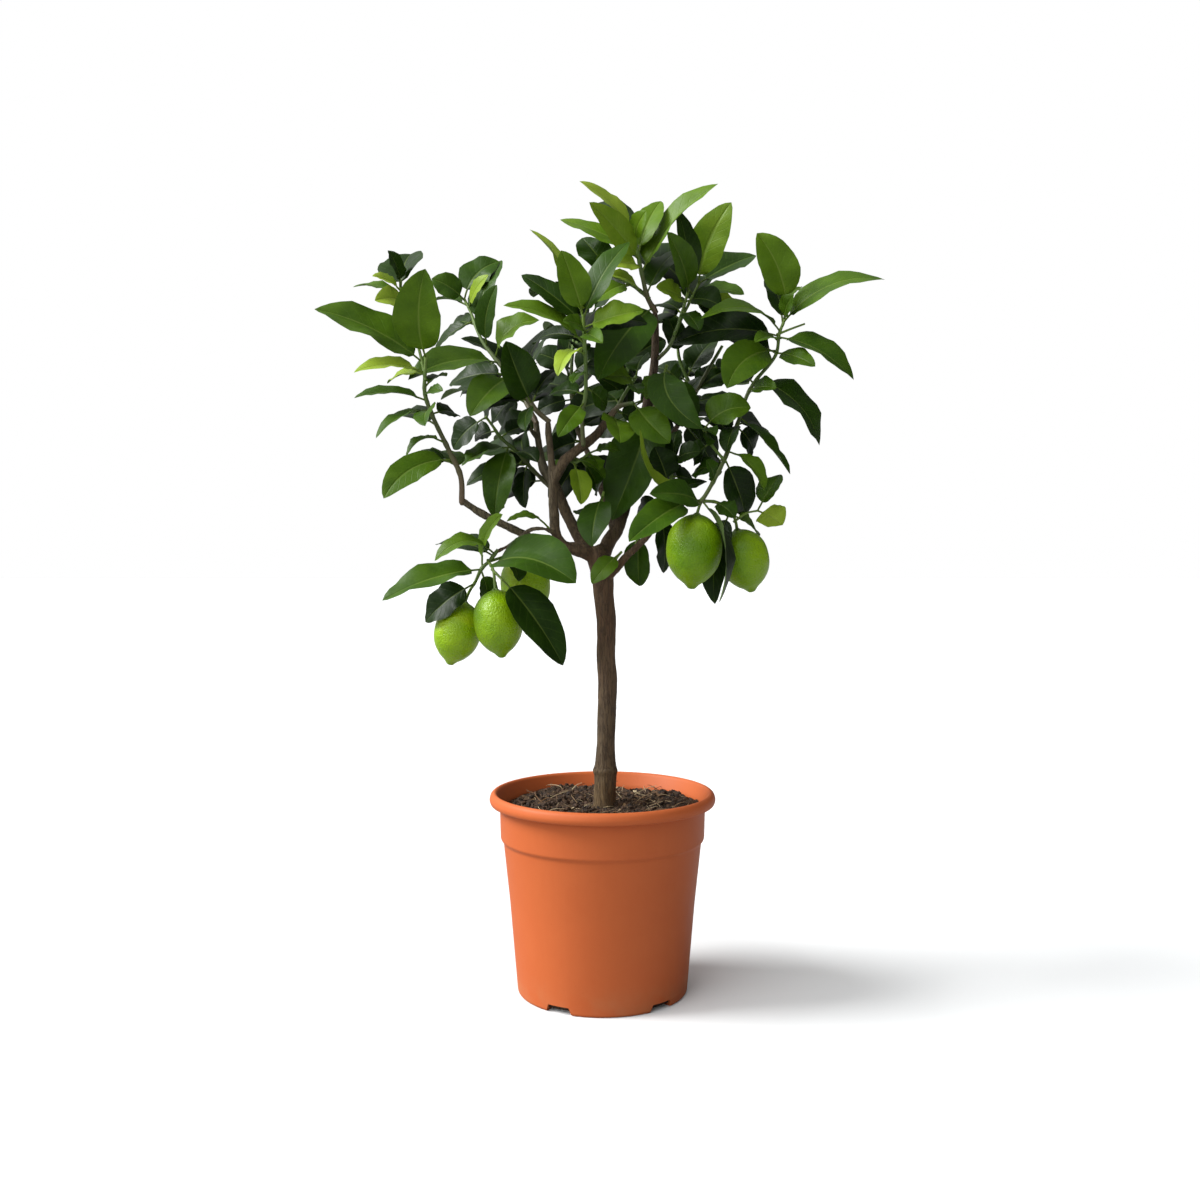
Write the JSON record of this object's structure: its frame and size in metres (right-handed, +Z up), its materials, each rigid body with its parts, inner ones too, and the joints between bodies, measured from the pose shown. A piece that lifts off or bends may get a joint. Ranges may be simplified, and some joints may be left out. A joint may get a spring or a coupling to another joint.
{
  "type": "potted lemon tree",
  "caption": "Young standard lemon tree with a bare upright stem, a dense leafy crown and green-yellow lemons, growing in a round terracotta-coloured nursery pot.",
  "frame": {"origin": "centre of the pot's flat underside, on the surface it stands on", "axes": "+Z up along the pot's axis, -Y towards the front as pictured, +X to the right as seen from the front"},
  "size_m": [0.4591, 0.2785, 0.668],
  "materials": {
    "pot_plastic": "satin terracotta-coloured moulded plastic, very faint streaks and scuffs",
    "potting_soil": null,
    "bark": "grey-brown young bark with fine lengthwise fissures and small scars",
    "lemon_peel": null,
    "foliage": null
  },
  "bodies": {
    "root": {"pot": "pot_plastic", "soil": "potting_soil", "trunk": "bark", "lemon_left_front": "lemon_peel", "lemon_left_outer": "lemon_peel", "lemon_left_inner": "lemon_peel", "lemon_right_front": "lemon_peel", "lemon_right_rear": "lemon_peel", "shoot_left_outer": "foliage", "shoot_left_inner": "foliage", "shoot_left_twig": "foliage", "shoot_centre_left": "foliage", "shoot_centre": "foliage", "shoot_underleaves": "foliage", "shoot_middle": "foliage", "shoot_fork": "foliage", "leaf_trunk": "foliage", "shoot_crown_left": "foliage", "shoot_crown_right": "foliage", "shoot_right": "foliage", "leaf_right_low": "foliage", "shoot_left_fruit": "foliage", "leaf_arch": "foliage", "shoot_low_right": "foliage", "shoot_back_centre": "foliage", "shoot_back_outer": "foliage", "shoot_back_left": "foliage", "shoot_back_right": "foliage"}
  },
  "joints": []
}
